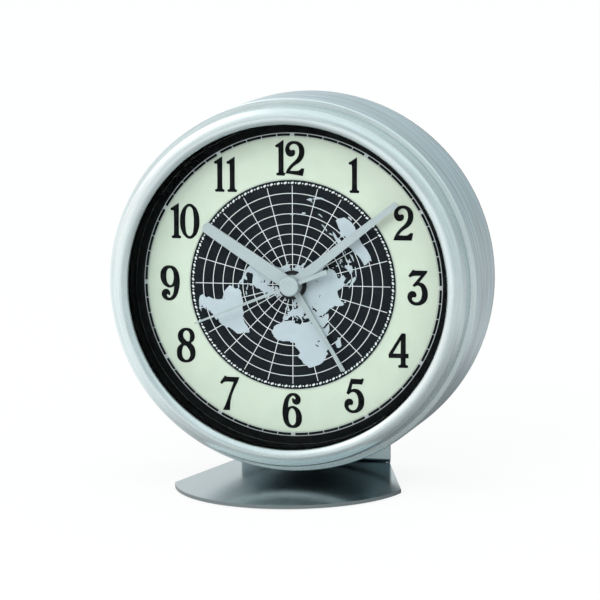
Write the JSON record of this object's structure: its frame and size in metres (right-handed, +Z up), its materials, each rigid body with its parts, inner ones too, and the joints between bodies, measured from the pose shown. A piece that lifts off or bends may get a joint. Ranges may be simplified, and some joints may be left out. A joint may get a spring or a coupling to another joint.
{
  "type": "world time clock",
  "caption": "Round table alarm clock with a polar world map on its dial, a brushed metal drum case, luminous numeral ring, centre hands and a bent sheet stand.",
  "frame": {"origin": "Under the stand, on the surface it rests on, at the centre of the plate's round front edge.", "axes": "+Z is up, the dial faces -Y and leans back by 3 degrees, +X is to the right seen from the front."},
  "size_m": [0.126, 0.0854, 0.1309],
  "materials": {
    "bezel_metal": "satin brushed",
    "lens_glass": "polished",
    "gasket_rubber": "matte",
    "surround_plastic": "satin black",
    "dial_paint": "printed, matt",
    "drum_metal": "brushed around the axis",
    "frame_plastic": "fine matt",
    "cover_plastic": "fine matt",
    "cell_sleeve": "gloss sleeve",
    "contact_steel": "nickel plated",
    "switch_plastic": "fine matt",
    "stand_steel": "brushed sheet",
    "pad_rubber": "matte",
    "wheel_plastic": "moulded",
    "pipe_brass": "turned",
    "rotor_magnet": "sintered magnet on a moulded pinion",
    "knob_plastic": "fine matt",
    "movement_plastic": "moulded",
    "nut_paint": "satin black",
    "stator_iron": "stamped",
    "winding_copper": "enamelled copper wire",
    "board_laminate": "green solder mask",
    "crystal_can": "polished can",
    "hand_paint": "silver grey, satin",
    "screw_steel": "zinc plated"
  },
  "bodies": {
    "case": {"front_bezel": "bezel_metal", "glass_lens": "lens_glass", "lens_gasket": "gasket_rubber", "dial_surround": "surround_plastic", "dial_plate": "dial_paint", "case_drum": "drum_metal", "case_frame": "frame_plastic", "rear_cover": "cover_plastic", "battery_cell": "cell_sleeve", "battery_contact": "contact_steel", "battery_spring": "contact_steel", "sounder": "frame_plastic", "switch_contact": "contact_steel", "stand_bracket": "stand_steel", "foot_pad": "pad_rubber", "movement_front_case": "movement_plastic", "movement_rear_case": "movement_plastic", "mounting_nut": "nut_paint", "stator": "stator_iron", "coil_spool": "wheel_plastic", "coil_winding": "winding_copper", "circuit_board": "board_laminate", "quartz_crystal": "crystal_can", "rear_cover_screws": "screw_steel", "bracket_screws": "screw_steel", "frame_screws": "screw_steel", "movement_screws": "screw_steel"},
    "second": {"second_wheel": "wheel_plastic", "second_hand": "hand_paint"},
    "third": {"third_wheel": "wheel_plastic"},
    "minute": {"centre_wheel": "wheel_plastic", "minute_pipe": "pipe_brass", "minute_hand": "hand_paint"},
    "minute_work": {"minute_wheel": "wheel_plastic"},
    "hour": {"hour_wheel": "wheel_plastic", "hour_hand": "hand_paint"},
    "time_knob": {"time_set_stem": "wheel_plastic", "time_set_knob": "knob_plastic"},
    "step": {"step_wheel": "wheel_plastic"},
    "rotor": {"rotor": "rotor_magnet"},
    "alarm": {"alarm_wheel": "wheel_plastic", "alarm_hand": "hand_paint"},
    "alarm_knob": {"alarm_set_stem": "wheel_plastic", "alarm_set_knob": "knob_plastic"},
    "switch": {"alarm_switch": "switch_plastic"},
    "door": {"battery_door": "cover_plastic"}
  },
  "joints": [
    {"name": "second_spin", "type": "hinge", "parent": "case", "child": "second", "pos_m": [0, 0.01197, 0.06742], "axis": [0, 0.9986, -0.0523], "continuous": true},
    {"name": "third_spin", "type": "hinge", "parent": "case", "child": "third", "pos_m": [0, 0.01261, 0.07964], "axis": [0, 0.9986, -0.0523], "continuous": true},
    {"name": "minute_spin", "type": "hinge", "parent": "case", "child": "minute", "pos_m": [0, 0.01197, 0.06742], "axis": [0, 0.9986, -0.0523], "continuous": true},
    {"name": "minute_work_spin", "type": "hinge", "parent": "case", "child": "minute_work", "pos_m": [-0.012, 0.01197, 0.06742], "axis": [0, 0.9986, -0.0523], "continuous": true},
    {"name": "hour_spin", "type": "hinge", "parent": "case", "child": "hour", "pos_m": [0, 0.01197, 0.06742], "axis": [0, 0.9986, -0.0523], "continuous": true},
    {"name": "time_knob_spin", "type": "hinge", "parent": "case", "child": "time_knob", "pos_m": [-0.02048, 0.01242, 0.0759], "axis": [0, 0.9986, -0.0523], "continuous": true},
    {"name": "step_spin", "type": "hinge", "parent": "case", "child": "step", "pos_m": [0, 0.01133, 0.05512], "axis": [0, 0.9986, -0.0523], "continuous": true},
    {"name": "rotor_spin", "type": "hinge", "parent": "case", "child": "rotor", "pos_m": [0.0048, 0.01089, 0.04682], "axis": [0, 0.9986, -0.0523], "continuous": true},
    {"name": "alarm_spin", "type": "hinge", "parent": "case", "child": "alarm", "pos_m": [0, 0.01197, 0.06742], "axis": [0, 0.9986, -0.0523], "continuous": true},
    {"name": "alarm_knob_spin", "type": "hinge", "parent": "case", "child": "alarm_knob", "pos_m": [0.013, 0.01197, 0.06742], "axis": [0, 0.9986, -0.0523], "continuous": true},
    {"name": "switch_slide", "type": "slide", "parent": "case", "child": "switch", "axis": [0, 0.0523, 0.9986], "range_m": [0, 0.004]},
    {"name": "door_slide", "type": "slide", "parent": "case", "child": "door", "axis": [0, 0.0523, 0.9986], "range_m": [0, 0.018]}
  ],
  "couplings": [
    {"joint": "third_spin", "follows": "second_spin", "ratio": -0.13333},
    {"joint": "minute_spin", "follows": "second_spin", "ratio": 0.016667},
    {"joint": "minute_work_spin", "follows": "second_spin", "ratio": -0.0055556},
    {"joint": "hour_spin", "follows": "second_spin", "ratio": 0.0013889},
    {"joint": "time_knob_spin", "follows": "second_spin", "ratio": 0.016667},
    {"joint": "step_spin", "follows": "second_spin", "ratio": -6},
    {"joint": "rotor_spin", "follows": "second_spin", "ratio": 30},
    {"joint": "alarm_knob_spin", "follows": "alarm_spin", "ratio": -3.3333}
  ]
}
